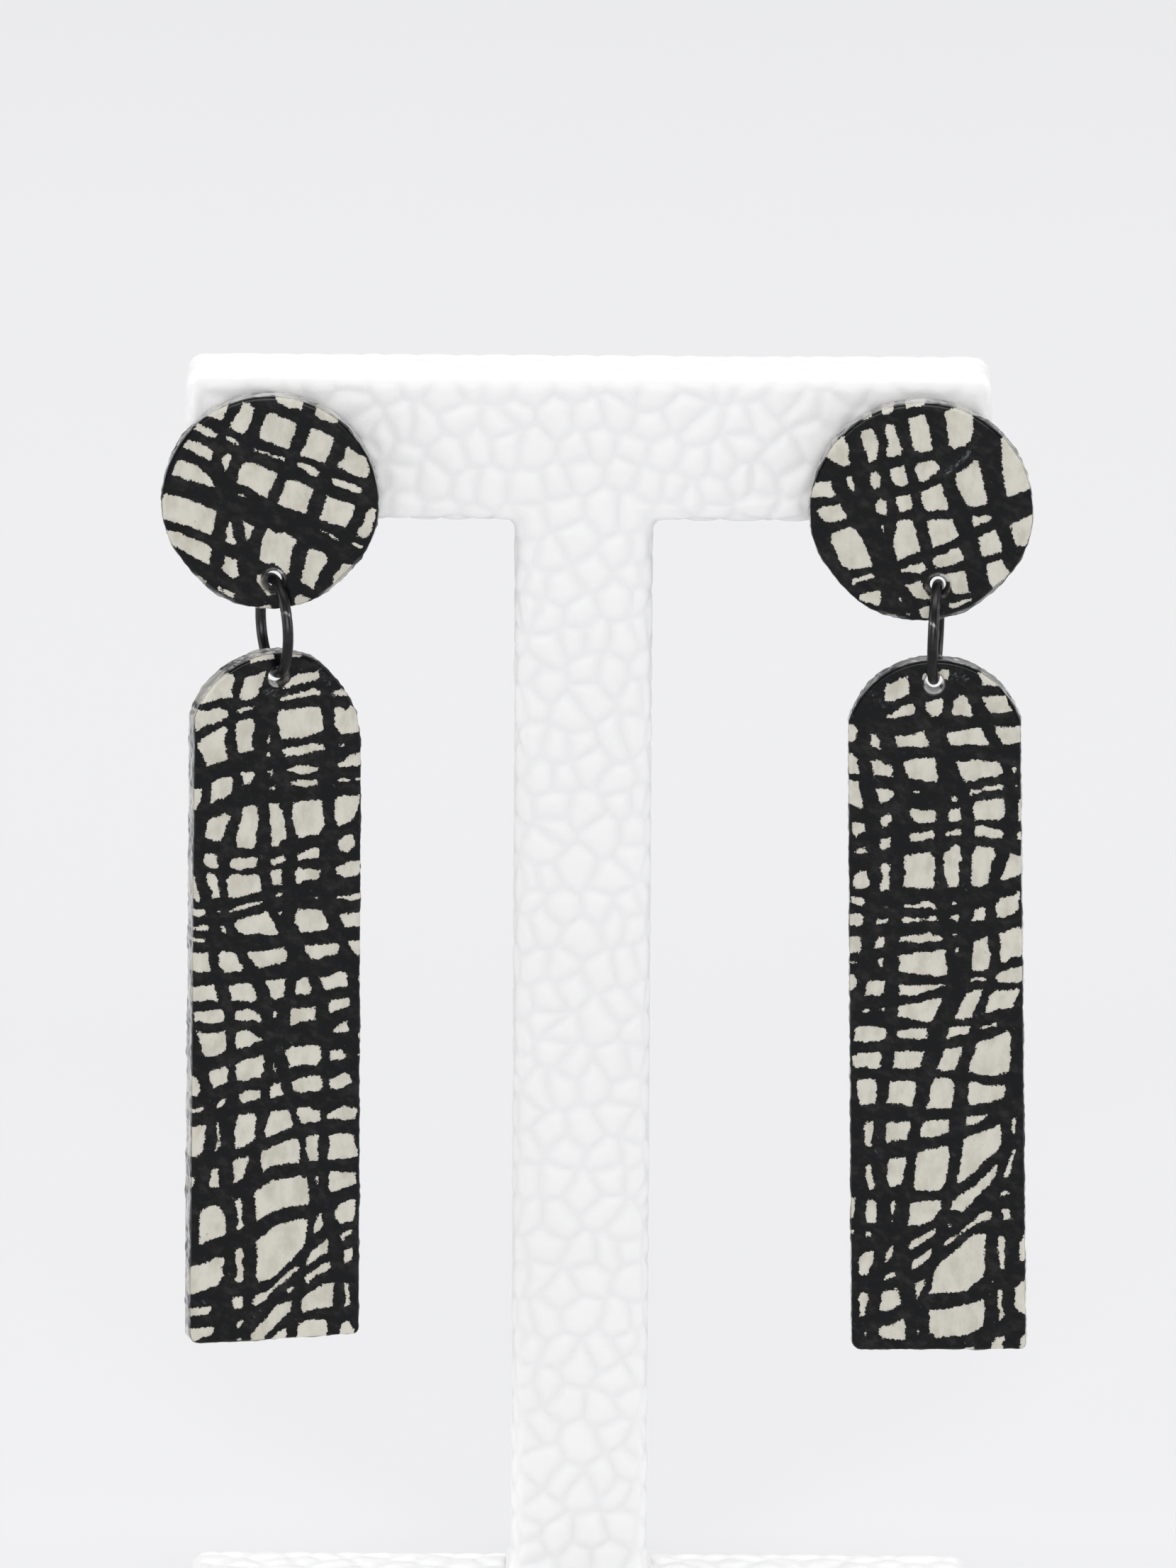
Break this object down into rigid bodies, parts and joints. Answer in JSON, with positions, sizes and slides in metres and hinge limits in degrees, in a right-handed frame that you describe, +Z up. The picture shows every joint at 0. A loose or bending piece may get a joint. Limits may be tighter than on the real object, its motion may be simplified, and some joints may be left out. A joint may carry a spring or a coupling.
{
  "type": "pair of dangle earrings on a T-shaped display stand",
  "caption": "Round stud discs with long arched bar drops on jump rings, crosshatched and varnished, hanging on a white leatherette T-bar stand.",
  "frame": {"origin": "centre of the base's flat underside", "axes": "+Z up, -Y towards the front where the discs face, +X towards the viewer's right"},
  "size_m": [0.0726, 0.0445, 0.1123],
  "materials": {
    "white_leatherette": "white pebbled leatherette, satin",
    "varnished_plate": "black crosshatch on cream under clear uneven varnish",
    "dark_wire": "dark plated wire, glossy",
    "post_steel": "plain steel"
  },
  "bodies": {
    "root": {"stand_base": "white_leatherette", "stand_tee": "white_leatherette", "stud_disc_left": "varnished_plate", "stud_disc_right": "varnished_plate", "ear_post_left": "post_steel", "ear_post_right": "post_steel"},
    "ring_left": {"jump_ring_left": "dark_wire"},
    "bar_left": {"drop_left": "varnished_plate"},
    "ring_right": {"jump_ring_right": "dark_wire"},
    "bar_right": {"drop_right": "varnished_plate"}
  },
  "joints": [
    {"name": "left_ring_swing", "type": "hinge", "parent": "root", "child": "ring_left", "pos_m": [-0.02573, 0.0103, 0.0952], "axis": [0, -1, 0], "range_deg": [-60, 11]},
    {"name": "left_bar_swing", "type": "hinge", "parent": "ring_left", "child": "bar_left", "pos_m": [-0.02565, 0.0103, 0.09116], "axis": [0.9508, 0.309, 0.0199], "range_deg": [-70, 70]},
    {"name": "right_ring_swing", "type": "hinge", "parent": "root", "child": "ring_right", "pos_m": [0.02937, 0.0103, 0.09506], "axis": [0, -1, 0], "range_deg": [-34, 60]},
    {"name": "right_bar_swing", "type": "hinge", "parent": "ring_right", "child": "bar_right", "pos_m": [0.02927, 0.0103, 0.0909], "axis": [0.9959, -0.0872, -0.0243], "range_deg": [-70, 70]}
  ]
}
